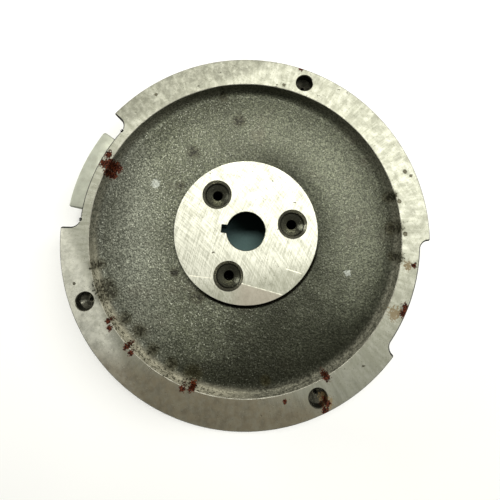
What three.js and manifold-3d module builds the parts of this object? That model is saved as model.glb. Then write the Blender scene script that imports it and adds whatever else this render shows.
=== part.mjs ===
// Cast-iron flywheel of a small single-cylinder petrol engine, with the magnet group that fires its coil.
// Millimetres, +Z up. The crank axis is +Z. The flywheel lies on its rear rim face at z = 0, fan side up.
// Angles are degrees about +Z from +X. The crank key points along -X.
import * as THREE from 'three';
import { mergeVertices } from 'three/addons/utils/BufferGeometryUtils.js';
import Module from 'manifold-3d';

const wasm = await Module();
wasm.setup();

// ---------------------------------------------------------------- driving dimensions

const GAP = 0.3; // clearance between touching pieces
const OVERSHOOT = 2; // how far a cutter runs past the surface it opens

const RIM_RADIUS = 92;
const RIM_WIDTH = 14; // width of the machined front face of the rim
const HEIGHT = 30; // rear rim face to front rim face
const EDGE_CHAMFER = 0.5;

const DISH_DEPTH = 7; // front rim face down to the web's crest
const WEB_CREST = 52; // radius at which the web's front stands highest
const WEB_FALL = 1.2; // how much lower the web lies at the foot of the dish's wall
const WEB_THICKNESS = 8; // at the crest
const DISH_DRAFT = 3; // draft of the dish's outer wall, degrees
const DISH_FILLET = 4;

const HUB_RADIUS = 35.7; // machined front face of the hub
const HUB_ROOT_FILLET = 1.2;
const HUB_DRAFT = 4;

const REAR_RIM_WIDTH = 13;
const REAR_DRAFT = 12;
const REAR_FILLET = 4;
const BOSS_RADIUS = 27; // rear boss around the crank taper
const BOSS_SETBACK = 2; // rear face of the boss, above the rear rim face

const BORE_RADIUS = 9.65; // small end of the crank taper, at the hub's front face
const TAPER = 1 / 16; // radius gained for each millimetre towards the rear: a 1 in 8 taper
const KEY_WIDTH = 4;
const KEY_FLOOR = 12.35; // keyway floor, from the crank axis at the front face
const KEY_ANGLE = 180;

const MAGNET_ANGLE = 165; // middle of the magnet group
const POCKET_FLOOR = 83;
const POCKET_HALF_ANGLE = 20.05;
const POCKET_FILLET = 4.5;

const RELIEF_ANGLE = MAGNET_ANGLE + 180; // shallow cut that balances the magnet group
const RELIEF_FLOOR = 87.2;
const RELIEF_HALF_ANGLE = 18.5;
const RELIEF_FILLET = 4.5;

const HUB_HOLE_CIRCLE = 23.5; // radius of the circle that the hub holes lie on
const HUB_HOLE_ANGLES = [90, 210, 330].map((turn) => MAGNET_ANGLE + turn);
const HUB_HOLE = { mouth: 7.4, wall: 5.9, chamferDepth: 1.7, wallDepth: 2.7, pilot: 2.5, pilotDepth: 14 };

const RIM_HOLE_CIRCLE = 84.5;
const RIM_HOLE_ANGLES = [-90, 45, 135].map((turn) => MAGNET_ANGLE + turn);
const RIM_HOLE = { mouth: 4.7, wall: 4.4, chamferDepth: 0.3, wallDepth: 5.2, pilot: 0.9, pilotDepth: 8.6 };
const DRILL_POINT = 31; // slope of a 118 degree drill point from the flat, degrees

const CARRIER = { inner: POCKET_FLOOR + GAP, outer: 91.7, halfAngle: 13.5, bottom: 4, top: 26 };
const EAR = { outer: 85.3, top: 10 }; // low ears at the carrier's rear that the spring pins lock
const PIN_ANGLE = 17.4; // spring pins, either side of the magnet's middle
const PIN_RADIUS = 0.9;
const PIN_END_GAP = 0.8; // pin ends sit this far inside the rim faces

const MAGNET = { halfWidth: 6, inner: 84.6, outer: 89.6 };
const SHOE = { inner: 83.6, width: 6, foot: 0.8, footTop: 85 };
const LAMINATION_COUNT = 9;
const LAMINATION_PITCH = 2;
const RIVET_RADIUS = 1.1;
const RIVET_REACH = 1.2; // how far a rivet's end enters the carrier's end wall

const SCREW = { angle: 11.2, head: 3.2, shank: 1.9, tip: 76.5, top: 91.35, slotWidth: 0.9, slotDepth: 0.9 };

const ROUND_STEPS = 96; // sides of the big turned surfaces
const HOLE_STEPS = 24;
const SMALL_STEPS = 12;

// ---------------------------------------------------------------- helpers

const radians = THREE.MathUtils.degToRad;
const tangent = (degrees) => Math.tan(radians(degrees));

function toSolid(geometry) {
  const bare = geometry.clone();
  bare.deleteAttribute('normal');
  bare.deleteAttribute('uv');
  const merged = mergeVertices(bare, 1e-4);
  const vertProperties = new Float32Array(merged.attributes.position.array);
  const triVerts = new Uint32Array(merged.index.array);
  return new wasm.Manifold(new wasm.Mesh({ numProp: 3, vertProperties, triVerts }));
}

function toGeometry(solid) {
  const { vertProperties, triVerts } = solid.getMesh();
  const geometry = new THREE.BufferGeometry();
  geometry.setAttribute('position', new THREE.BufferAttribute(vertProperties, 3));
  geometry.setIndex(new THREE.BufferAttribute(triVerts, 1));
  geometry.computeVertexNormals();
  return geometry;
}

function cutAway(body, cutters) {
  const solid = cutters.reduce((left, cutter) => left.subtract(toSolid(cutter)), toSolid(body));
  return toGeometry(solid);
}

// Turns [radius, height] points about the Z axis.
function turned(profile, steps) {
  const points = profile.map(([radius, height]) => new THREE.Vector2(radius, height));
  return new THREE.LatheGeometry(points, steps).rotateX(Math.PI / 2);
}

// Points of an arc about [x, y] from one angle to another, ends included.
function arc(x, y, radius, from, to, steps) {
  return Array.from({ length: steps + 1 }, (_, step) => {
    const angle = radians(from + ((to - from) * step) / steps);
    return [x + radius * Math.cos(angle), y + radius * Math.sin(angle)];
  });
}

function outline(points) {
  return new THREE.Shape(points.map(([x, y]) => new THREE.Vector2(x, y)));
}

// Extrudes a shape in X and Y between two heights.
function prism(shape, bottom, top) {
  const options = { depth: top - bottom, bevelEnabled: false, curveSegments: 6 };
  return new THREE.ExtrudeGeometry(shape, options).translate(0, 0, bottom);
}

function block(left, right, inner, outer, bottom, top) {
  const geometry = new THREE.BoxGeometry(right - left, outer - inner, top - bottom);
  return geometry.translate((left + right) / 2, (inner + outer) / 2, (bottom + top) / 2);
}

// A piece of a ring centred on +Y.
function ringSector(inner, outer, halfAngle, bottom, top) {
  const steps = 18;
  const outside = arc(0, 0, outer, 90 - halfAngle, 90 + halfAngle, steps);
  const inside = arc(0, 0, inner, 90 + halfAngle, 90 - halfAngle, steps);
  return prism(outline([...outside, ...inside]), bottom, top);
}

// A cutter for a pocket in the rim's edge, centred on +Y, with filleted inner corners.
function edgePocket(floor, halfAngle, fillet) {
  const filletCentre = floor + fillet;
  const setback = THREE.MathUtils.radToDeg(Math.asin(fillet / filletCentre));
  const floorHalf = halfAngle - setback;
  const cornerSteps = 6;
  const corner = (side) => {
    const centreAngle = 90 + side * floorHalf;
    const x = filletCentre * Math.cos(radians(centreAngle));
    const y = filletCentre * Math.sin(radians(centreAngle));
    const onFloor = centreAngle + 180;
    const onWall = onFloor - side * (90 - setback);
    return arc(x, y, fillet, onFloor, onWall, cornerSteps);
  };
  const wallEnd = (side) => {
    const reach = RIM_RADIUS + OVERSHOOT;
    const angle = radians(90 + side * halfAngle);
    return [[reach * Math.cos(angle), reach * Math.sin(angle)]];
  };
  const floorArc = arc(0, 0, floor, 90 + floorHalf, 90 - floorHalf, 14).slice(1, -1);
  const beyond = arc(0, 0, (RIM_RADIUS + OVERSHOOT) * 1.03, 90 - halfAngle, 90 + halfAngle, 12);
  const cut = [...wallEnd(1), ...corner(1).reverse(), ...floorArc, ...corner(-1), ...wallEnd(-1)];
  return prism(outline([...cut, ...beyond].reverse()), -OVERSHOOT, HEIGHT + OVERSHOOT);
}

// A drilled hole in the front face: chamfered mouth, straight wall, drill point, then a smaller pilot.
function drilledHole({ mouth, wall, chamferDepth, wallDepth, pilot, pilotDepth }) {
  const pointDepth = wallDepth + (wall - pilot) * tangent(DRILL_POINT);
  const chamferSlope = (mouth - wall) / chamferDepth;
  return turned([
    [0, HEIGHT - pilotDepth - pilot * tangent(DRILL_POINT)],
    [pilot, HEIGHT - pilotDepth],
    [pilot, HEIGHT - pointDepth],
    [wall, HEIGHT - wallDepth],
    [wall, HEIGHT - chamferDepth],
    [mouth + OVERSHOOT * chamferSlope, HEIGHT + OVERSHOOT],
    [0, HEIGHT + OVERSHOOT],
  ], HOLE_STEPS);
}

function aroundAxis(geometry, angle) {
  return geometry.rotateZ(radians(angle));
}

// Puts a piece drawn for the magnet group, which is centred on +Y, where that group stands.
function atMagnet(geometry) {
  return aroundAxis(geometry, MAGNET_ANGLE - 90);
}

// Swings a piece drawn on +Y to one side of the magnet group's middle: side 1 is towards +X.
function besideMiddle(geometry, side, angle) {
  return aroundAxis(geometry, -side * angle);
}

// ---------------------------------------------------------------- the casting

// Height of the web's front, which falls away from its crest to the hub and to the dish's wall.
function crownedWeb(radius, outerRadius) {
  const share = (radius - WEB_CREST) / (outerRadius - WEB_CREST);
  return HEIGHT - DISH_DEPTH - WEB_FALL * share * share;
}

function castingProfile() {
  const webFront = HEIGHT - DISH_DEPTH;
  const webBack = webFront - WEB_THICKNESS;
  const dishMouth = RIM_RADIUS - RIM_WIDTH;
  const bowlHeight = webFront - WEB_FALL + DISH_FILLET;
  const bowlRadius = dishMouth - (HEIGHT - bowlHeight) * tangent(DISH_DRAFT) - DISH_FILLET;
  const hubRoot = HUB_RADIUS + DISH_DEPTH * tangent(HUB_DRAFT);
  const rearMouth = RIM_RADIUS - REAR_RIM_WIDTH;
  const rearFoot = rearMouth - webBack * tangent(REAR_DRAFT);
  const bossRoot = BOSS_RADIUS + (webBack - BOSS_SETBACK) * tangent(REAR_DRAFT);
  const boreRear = BORE_RADIUS + (HEIGHT - BOSS_SETBACK) * TAPER;

  // Each fillet is an arc between a drafted wall and the flat web.
  const filletSteps = 3;
  const fillet = (foot, side, radius, height, from, to) => (
    arc(foot + side * radius, height, radius, from, to, filletSteps)
  );
  const bowlFillet = arc(bowlRadius, bowlHeight, DISH_FILLET, -DISH_DRAFT, -90, 5);
  const hubHeight = crownedWeb(hubRoot + HUB_ROOT_FILLET, bowlRadius) + HUB_ROOT_FILLET;
  const hubFillet = fillet(hubRoot, 1, HUB_ROOT_FILLET, hubHeight, -90, HUB_DRAFT - 180);
  const crown = [0.85, 0.7, 0.5, 0.3, 0.1].map((share) => {
    const radius = hubRoot + share * (bowlRadius - hubRoot);
    return [radius, crownedWeb(radius, bowlRadius)];
  });
  const bossFillet = fillet(bossRoot, 1, REAR_FILLET, webBack - REAR_FILLET, 180 - REAR_DRAFT, 90);
  const rearFillet = fillet(rearFoot, -1, REAR_FILLET, webBack - REAR_FILLET, 90, REAR_DRAFT);

  return [
    [RIM_RADIUS, EDGE_CHAMFER],
    [RIM_RADIUS, HEIGHT - EDGE_CHAMFER],
    [RIM_RADIUS - EDGE_CHAMFER, HEIGHT],
    [dishMouth, HEIGHT],
    ...bowlFillet,
    ...crown,
    ...hubFillet,
    [HUB_RADIUS + EDGE_CHAMFER * 0.5, HEIGHT - EDGE_CHAMFER],
    [HUB_RADIUS, HEIGHT],
    [BORE_RADIUS + EDGE_CHAMFER * 0.5, HEIGHT],
    [BORE_RADIUS, HEIGHT - EDGE_CHAMFER * 0.5],
    [boreRear, BOSS_SETBACK + EDGE_CHAMFER],
    [boreRear + EDGE_CHAMFER, BOSS_SETBACK],
    [BOSS_RADIUS, BOSS_SETBACK],
    ...bossFillet,
    ...rearFillet,
    [rearMouth, 0],
    [RIM_RADIUS - EDGE_CHAMFER, 0],
    [RIM_RADIUS, EDGE_CHAMFER],
  ];
}

// The keyway's floor leans with the taper, so that its depth stays the same along the bore.
function keywayCutter() {
  const low = -OVERSHOOT;
  const high = HEIGHT + OVERSHOOT;
  const floorAt = (height) => KEY_FLOOR + (HEIGHT - height) * TAPER;
  const side = outline([[0, low], [floorAt(low), low], [floorAt(high), high], [0, high]]);
  const geometry = new THREE.ExtrudeGeometry(side, { depth: KEY_WIDTH, bevelEnabled: false });
  geometry.translate(0, 0, -KEY_WIDTH / 2).rotateX(Math.PI / 2);
  return aroundAxis(geometry, KEY_ANGLE);
}

function holeCutters(hole, circle, angles) {
  return angles.map((angle) => aroundAxis(drilledHole(hole).translate(circle, 0, 0), angle));
}

// The groove that a spring pin stands in, half in the pocket's floor.
function pinGroove(side) {
  const groove = turned([
    [0, -OVERSHOOT],
    [PIN_RADIUS + GAP, -OVERSHOOT],
    [PIN_RADIUS + GAP, HEIGHT + OVERSHOOT],
    [0, HEIGHT + OVERSHOOT],
  ], SMALL_STEPS);
  return atMagnet(besideMiddle(groove.translate(0, POCKET_FLOOR, 0), side, PIN_ANGLE));
}

// Stands a shape turned about Z out along the radius of a magnet screw, halfway up the rim.
function alongScrew(geometry, side) {
  return besideMiddle(geometry.rotateX(-Math.PI / 2).translate(0, 0, HEIGHT / 2), side, SCREW.angle);
}

function screwHole(side) {
  const hole = turned([
    [0, SCREW.tip - 1],
    [SCREW.shank + GAP, SCREW.tip - 1],
    [SCREW.shank + GAP, POCKET_FLOOR + OVERSHOOT],
    [0, POCKET_FLOOR + OVERSHOOT],
  ], SMALL_STEPS);
  return atMagnet(alongScrew(hole, side));
}

function flywheelCasting() {
  return cutAway(turned(castingProfile(), ROUND_STEPS), [
    keywayCutter(),
    atMagnet(edgePocket(POCKET_FLOOR, POCKET_HALF_ANGLE, POCKET_FILLET)),
    aroundAxis(edgePocket(RELIEF_FLOOR, RELIEF_HALF_ANGLE, RELIEF_FILLET), RELIEF_ANGLE - 90),
    ...holeCutters(HUB_HOLE, HUB_HOLE_CIRCLE, HUB_HOLE_ANGLES),
    ...holeCutters(RIM_HOLE, RIM_HOLE_CIRCLE, RIM_HOLE_ANGLES),
    ...[-1, 1].flatMap((side) => [pinGroove(side), screwHole(side)]),
  ]);
}

// ---------------------------------------------------------------- the magnet group, drawn centred on +Y

const SHOE_INSIDE = MAGNET.halfWidth + GAP;
const SHOE_OUTSIDE = SHOE_INSIDE + SHOE.width;
const STACK_HEIGHT = LAMINATION_COUNT * LAMINATION_PITCH - GAP;
const STACK_BOTTOM = (HEIGHT - STACK_HEIGHT) / 2;
const STACK_TOP = STACK_BOTTOM + STACK_HEIGHT;
const RIVET_ACROSS = (SHOE_INSIDE + SHOE_OUTSIDE) / 2;
const RIVET_HEIGHT = 87.5; // distance of a rivet's axis from the crank axis, measured along +Y

function screwCountersink(side) {
  const socket = turned([
    [0, CARRIER.inner - OVERSHOOT],
    [SCREW.shank + GAP, CARRIER.inner - OVERSHOOT],
    [SCREW.shank + GAP, SCREW.top - SCREW.head + SCREW.shank - GAP],
    [SCREW.head + GAP, SCREW.top - GAP],
    [SCREW.head + GAP, CARRIER.outer + OVERSHOOT],
    [0, CARRIER.outer + OVERSHOOT],
  ], HOLE_STEPS);
  return alongScrew(socket, side);
}

function rivetRod(side, radius, reach) {
  const rod = turned([
    [0, STACK_BOTTOM - reach],
    [radius, STACK_BOTTOM - reach],
    [radius, STACK_TOP + reach],
    [0, STACK_TOP + reach],
  ], SMALL_STEPS);
  return rod.translate(side * RIVET_ACROSS, RIVET_HEIGHT, 0);
}

function shoeWindow(side) {
  const halfWidth = SHOE.width / 2 + GAP;
  const top = CARRIER.outer + OVERSHOOT;
  const window = block(-halfWidth, halfWidth, MAGNET.outer, top, STACK_BOTTOM - GAP, STACK_TOP + GAP);
  return window.translate(side * (SHOE_INSIDE + SHOE_OUTSIDE) / 2, 0, 0);
}

// Die-cast block: open underneath for the magnet and the shoes' feet, with a window above each shoe.
function magnetCarrier() {
  const { inner, outer, halfAngle, bottom, top } = CARRIER;
  const body = toSolid(ringSector(inner, outer, halfAngle, bottom, top));
  const earHalfAngle = PIN_ANGLE - THREE.MathUtils.radToDeg((PIN_RADIUS + GAP) / POCKET_FLOOR);
  const ears = toSolid(ringSector(inner, EAR.outer, earHalfAngle, bottom, EAR.top));
  const low = STACK_BOTTOM - GAP;
  const high = STACK_TOP + GAP;
  const footReach = SHOE_OUTSIDE + SHOE.foot + GAP;
  const shoeReach = SHOE_OUTSIDE + GAP;
  const under = inner - OVERSHOOT;
  const cutters = [
    block(-footReach, footReach, under, SHOE.footTop + GAP, low, high),
    block(-shoeReach, shoeReach, under, MAGNET.outer + GAP, low, high),
    ...[-1, 1].flatMap((side) => [
      shoeWindow(side),
      rivetRod(side, RIVET_RADIUS + GAP, RIVET_REACH + GAP),
      screwCountersink(side),
    ]),
  ];
  return cutAway(toGeometry(body.add(ears)), cutters);
}

function ignitionMagnet() {
  const { halfWidth, inner, outer } = MAGNET;
  return block(-halfWidth, halfWidth, inner, outer, STACK_BOTTOM, STACK_TOP);
}

// One plate of a pole shoe: a narrow foot locks it under the carrier, and its top follows the rim's curve.
function lamination(index, side) {
  const { inner, foot, footTop } = SHOE;
  const topAngle = (across) => THREE.MathUtils.radToDeg(Math.acos(across / CARRIER.outer));
  const crown = arc(0, 0, CARRIER.outer, topAngle(SHOE_OUTSIDE), topAngle(SHOE_INSIDE), 3);
  const corners = [
    [SHOE_INSIDE, inner],
    [SHOE_OUTSIDE + foot, inner],
    [SHOE_OUTSIDE + foot, footTop],
    [SHOE_OUTSIDE, footTop],
    ...crown,
  ];
  const placed = corners.map(([across, up]) => [side * across, up]);
  const plate = outline(side > 0 ? placed : placed.reverse());
  const hole = new THREE.Path();
  hole.absarc(side * RIVET_ACROSS, RIVET_HEIGHT, RIVET_RADIUS + GAP, 0, 2 * Math.PI, true);
  plate.holes.push(hole);
  const bottom = STACK_BOTTOM + index * LAMINATION_PITCH;
  return prism(plate, bottom, bottom + LAMINATION_PITCH - GAP);
}

// Countersunk screw with a plain slot, turned along the radius it stands on.
function magnetScrew(side) {
  const { head, shank, tip, top, slotWidth, slotDepth } = SCREW;
  const body = turned([
    [0, tip],
    [shank - 0.4, tip],
    [shank, tip + 0.4],
    [shank, top - head + shank],
    [head, top],
    [0, top],
  ], HOLE_STEPS);
  const slot = block(-head, head, -slotWidth / 2, slotWidth / 2, top - slotDepth, top + OVERSHOOT);
  return alongScrew(cutAway(body, [slot]), side);
}

function springPin(side) {
  const low = PIN_END_GAP;
  const high = HEIGHT - PIN_END_GAP;
  const pin = turned([
    [0, low],
    [PIN_RADIUS - 0.2, low],
    [PIN_RADIUS, low + 0.3],
    [PIN_RADIUS, high - 0.3],
    [PIN_RADIUS - 0.2, high],
    [0, high],
  ], SMALL_STEPS);
  return besideMiddle(pin.translate(0, POCKET_FLOOR, 0), side, PIN_ANGLE);
}

// ---------------------------------------------------------------- materials and assembly

function finish(color, roughness, metalness) {
  return new THREE.MeshStandardMaterial({ color, roughness, metalness });
}

const castIron = finish(0x8f9083, 0.55, 0.8);
const dieCastAluminium = finish(0xc3c6ba, 0.45, 0.9);
const magnetAlloy = finish(0x3b3b3d, 0.6, 0.5);
const electricalSteel = finish(0x6d6c68, 0.45, 0.95);
const zincSteel = finish(0x9a9b97, 0.35, 1);
const blackSteel = finish(0x26262a, 0.5, 0.9);

function piece(name, geometry, material) {
  const mesh = new THREE.Mesh(geometry, material);
  mesh.name = name;
  return mesh;
}

function magnetGroup() {
  const group = new THREE.Group();
  group.rotation.z = radians(MAGNET_ANGLE - 90);
  group.add(piece('magnet_carrier', magnetCarrier(), dieCastAluminium));
  group.add(piece('ignition_magnet', ignitionMagnet(), magnetAlloy));
  // Seen from the fan side the flywheel turns clockwise, so its leading end is the one towards +X.
  for (const [end, side] of [['leading', 1], ['trailing', -1]]) {
    for (let index = 0; index < LAMINATION_COUNT; index += 1) {
      group.add(piece(`${end}_shoe_lamination_${index + 1}`, lamination(index, side), electricalSteel));
    }
    group.add(piece(`${end}_shoe_rivet`, rivetRod(side, RIVET_RADIUS, RIVET_REACH), zincSteel));
    group.add(piece(`${end}_carrier_screw`, magnetScrew(side), zincSteel));
    group.add(piece(`${end}_spring_pin`, springPin(side), blackSteel));
  }
  return group;
}

const flywheel = new THREE.Group();
flywheel.add(piece('flywheel_casting', flywheelCasting(), castIron));
flywheel.add(magnetGroup());

export default flywheel;
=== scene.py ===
"""Looks of a small engine's cast-iron flywheel: machined casting, magnet group, floor, lights and camera.

Sizes are millimetres until a mesh is made. Angles are degrees about +Z from +X. The crank axis is +Z.
"""

import math

import bmesh
import bpy
import numpy as np
from mathutils import Matrix, Vector, noise


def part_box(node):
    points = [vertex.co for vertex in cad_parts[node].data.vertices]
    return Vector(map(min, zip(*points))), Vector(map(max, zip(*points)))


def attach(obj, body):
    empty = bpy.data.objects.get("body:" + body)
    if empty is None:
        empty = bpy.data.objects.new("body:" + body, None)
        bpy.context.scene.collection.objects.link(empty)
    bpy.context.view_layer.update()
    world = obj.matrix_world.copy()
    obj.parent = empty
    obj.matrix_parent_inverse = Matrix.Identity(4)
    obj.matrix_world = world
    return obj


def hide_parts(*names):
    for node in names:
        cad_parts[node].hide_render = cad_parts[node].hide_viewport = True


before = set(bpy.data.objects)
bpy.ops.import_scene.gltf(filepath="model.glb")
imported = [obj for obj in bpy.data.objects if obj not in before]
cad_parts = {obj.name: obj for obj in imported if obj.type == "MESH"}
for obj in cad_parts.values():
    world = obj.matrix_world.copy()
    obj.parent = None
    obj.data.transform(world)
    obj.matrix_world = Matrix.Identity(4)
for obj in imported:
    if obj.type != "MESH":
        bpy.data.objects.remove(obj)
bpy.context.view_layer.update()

MM = 0.001
INSIDE = 0.02  # the fine casting stays this far inside the CAD box
CASTING_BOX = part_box("flywheel_casting")
CARRIER_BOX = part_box("magnet_carrier")

# ---------------------------------------------------------------- sizes

RIM_RADIUS = CASTING_BOX[1].y / MM - INSIDE
HEIGHT = CASTING_BOX[1].z / MM
EDGE = 0.5  # chamfer of the turned edges
BREAK = 0.3  # broken edge of the keyway
CUT_BREAK = 0.8  # broken edge of a cut in the rim

RIM_WIDTH = 14
DISH_MOUTH = RIM_RADIUS - RIM_WIDTH
MOUTH_EDGE = (0.3, 0.12)  # width and depth of the broken edge round the dish's mouth
DISH_DEPTH = 7
DISH_FLOOR = HEIGHT - DISH_DEPTH
WEB_CREST = 52  # radius at which the web's front stands highest
WEB_FALL = 1.2  # how much lower the web lies at the foot of the dish's wall
DISH_DRAFT = 3
DISH_FILLET = 4

HUB_RADIUS = 35.7
HUB_DRAFT = 4
HUB_FILLET = 1.2

REAR_RIM_WIDTH = 13
REAR_MOUTH = RIM_RADIUS - REAR_RIM_WIDTH
REAR_DRAFT = 12
REAR_FILLET = 4
WEB_THICKNESS = 8
REAR_FLOOR = DISH_FLOOR - WEB_THICKNESS
BOSS_RADIUS = 27
BOSS_FACE = 2

BORE_RADIUS = 9.65
TAPER = 1 / 16
KEY_WIDTH = 4
KEY_FLOOR = 12.35
KEY_ANGLE = 180

MAGNET_ANGLE = 165
POCKET = {"floor": 83, "half_angle": 20.05, "fillet": 4.5}
RELIEF = {"floor": 87.2, "half_angle": 18.5, "fillet": 4.5}
CUT_CORNER = 0.9  # rounding where a milled cut meets the rim's edge
CORNER_SET_BACK = 0.93  # how far that rounding's centre lies inside the rim's edge, in its own radii

HUB_HOLE_CIRCLE = 23.5
HUB_HOLE_ANGLES = [MAGNET_ANGLE + offset for offset in (90, 210, 330)]
HUB_HOLE = {"mouth": 7.4, "wall": 5.9, "chamfer": 1.7, "depth": 2.7, "pilot": 2.5, "pilot_depth": 14}
RIM_HOLE_CIRCLE = 84.5
RIM_HOLE_ANGLES = [MAGNET_ANGLE + offset for offset in (-90, 45, 135)]
RIM_HOLE = {"mouth": 4.7, "wall": 4.4, "chamfer": 0.3, "depth": 5.2, "pilot": 0.9, "pilot_depth": 8.6}
DRILL_POINT = 31  # slope of a drilled floor

PIN_ANGLE = 17.4
PIN_RADIUS = 0.9
PIN_CORE = 0.1  # radius of the hollow in a tightly rolled pin
PIN_CHAMFER = 0.15
CARRIER_HALF = 13.5  # half the angle that the carrier spans
EAR_REACH = 2  # how far the carrier's low ears stand out from the pocket's floor
EAR_TOP = 10
SHOE_WINDOW = (6.3, 12.3)  # sideways reach of a pole shoe's window from the carrier's middle
SHOE_FOOT_TOP = 85.3  # radius up to which a pole shoe's wider foot reaches
MAGNET_HALF = 7  # half the width of the magnet's recess
COUNTERSINK = (89.7, 91.05)  # radii between which a screw's countersink widens
SCREW_ANGLE = 11.2
SCREW_HEAD = 3.2
SCREW_SHANK = 1.9
SCREW_TIP = 76.6
SCREW_HOLE_END = 75.5
SCREW_SUNK = 0.65  # how far a screw's head lies under the rim's edge
SLOT_WIDTH = 0.9
SLOT_DEPTH = 0.9
THREAD = {"from": 77.1, "to": 88.5, "pitch": 0.7, "depth": 0.35}
GAP = 0.3
PAST = 2  # how far a cutter runs past the surface it opens

TURNED_SEGMENTS = 480
FRONT_PITCH = 0.8  # mesh spacing on the front's rough casting skin
REAR_PITCH = 1.3
FLAT_PITCH = 5
SKIN_WAVES = [(15, 0.16), (4.2, 0.08), (1.9, 0.06)]  # size and height of the skin's swells, lumps and grain
SKIN_EDGE_LIFT = 0.6  # share of that height left where the skin meets a machined face

# Finishes of the casting, in the order of its material slots.
ROUGH, GROUND, TURNED, DRILLED, MILLED = range(5)


def tangent(degrees):
    return math.tan(math.radians(degrees))


def turn(points, degrees):
    """Points, as rows, turned about +Z."""
    angle = math.radians(degrees)
    cosine, sine = math.cos(angle), math.sin(angle)
    spin = np.array([[cosine, sine, 0], [-sine, cosine, 0], [0, 0, 1]])
    return np.asarray(points, float) @ spin


def arc(x, y, radius, start, end, steps):
    angles = np.radians(np.linspace(start, end, steps + 1))
    return [(x + radius * math.cos(a), y + radius * math.sin(a)) for a in angles]


# ---------------------------------------------------------------- meshes


def mesh_object(name, points, faces, finish_of=None):
    mesh = bpy.data.meshes.new(name)
    mesh.from_pydata((np.asarray(points) * MM).tolist(), [], faces)
    if finish_of is not None:
        mesh.polygons.foreach_set("material_index", finish_of)
    made = bpy.data.objects.new(name, mesh)
    bpy.context.scene.collection.objects.link(made)
    return made


def loft(rings):
    """A closed solid through rings of equally many points, each counterclockwise seen from its far end."""
    count = len(rings[0])
    points = np.concatenate(rings)
    faces = [list(range(count))[::-1], list(range(len(points) - count, len(points)))]
    for level in range(len(rings) - 1):
        low = level * count
        for side in range(count):
            after = (side + 1) % count
            faces.append([low + side, low + after, low + count + after, low + count + side])
    return points, faces


def lathe(profile, segments=48):
    """A solid turned about +Z from [radius, height] points that rise."""
    angles = np.linspace(0, 2 * math.pi, segments, endpoint=False)
    rings = [
        np.stack([r * np.cos(angles), r * np.sin(angles), np.full(segments, z)], axis=1)
        for r, z in profile
    ]
    return loft(rings)


def moved(solid, shift=(0, 0, 0), degrees=0):
    points, faces = solid
    return turn(points + np.array(shift), degrees), faces


def lying_outwards(solid, degrees):
    """Lays a solid turned about +Z out along a radius, halfway up the rim."""
    points, faces = solid
    laid = np.stack([points[:, 2], points[:, 0], points[:, 1] + HEIGHT / 2], axis=1)
    return turn(laid, degrees), faces


def joined(solids, finishes):
    """Several solids as one point list and one face list, with a finish for each face."""
    points, faces, marks = [], [], []
    start = 0
    for (solid_points, solid_faces), finish in zip(solids, finishes):
        points.append(solid_points)
        faces.extend([[start + corner for corner in face] for face in solid_faces])
        marks.extend([finish] * len(solid_faces))
        start += len(solid_points)
    return np.concatenate(points), faces, marks


def cut(target, solids, finishes, operation="DIFFERENCE"):
    """Cuts solids out of an object, or adds them, and keeps the finish of each new face."""
    points, faces, marks = joined(solids, finishes)
    cutter = mesh_object("cutter", points, faces, marks)
    for material in target.data.materials:
        cutter.data.materials.append(material)
    modifier = target.modifiers.new("cut", "BOOLEAN")
    modifier.operation = operation
    modifier.solver = "MANIFOLD"
    modifier.object = cutter
    result = target.evaluated_get(bpy.context.evaluated_depsgraph_get())
    fresh = bpy.data.meshes.new_from_object(result)
    target.modifiers.remove(modifier)
    target.data = fresh
    bpy.data.objects.remove(cutter)


def shade(target, crease=28, soft_finish=None):
    """Smooth shading with sharp edges where faces meet at an angle or the finish changes."""
    work = bmesh.new()
    work.from_mesh(target.data)
    limit = math.radians(crease)
    for face in work.faces:
        face.smooth = True
    for edge in work.edges:
        if len(edge.link_faces) != 2:
            continue
        first, second = (face.material_index for face in edge.link_faces)
        soft = first == second == soft_finish
        edge.smooth = first == second and (soft or edge.calc_face_angle() < limit)
    work.to_mesh(target.data)
    work.free()


# ---------------------------------------------------------------- the casting


def resampled(points, pitch):
    """The corners of a line with extra points between them, without its last corner."""
    out = []
    for (r0, z0), (r1, z1) in zip(points, points[1:]):
        parts = max(1, round(math.hypot(r1 - r0, z1 - z0) / pitch))
        for part in range(parts):
            share = part / parts
            out.append((r0 + (r1 - r0) * share, z0 + (z1 - z0) * share))
    return out


def web_front(hub_side, rim_side):
    """Points of the crowned web from its outer to its inner end, falling away from the crest both ways."""
    points = []
    for radius in np.linspace(rim_side, hub_side, 16):
        share = (radius - WEB_CREST) / (rim_side - WEB_CREST)
        points.append((radius, DISH_FLOOR - WEB_FALL * share * share))
    return points


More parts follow.
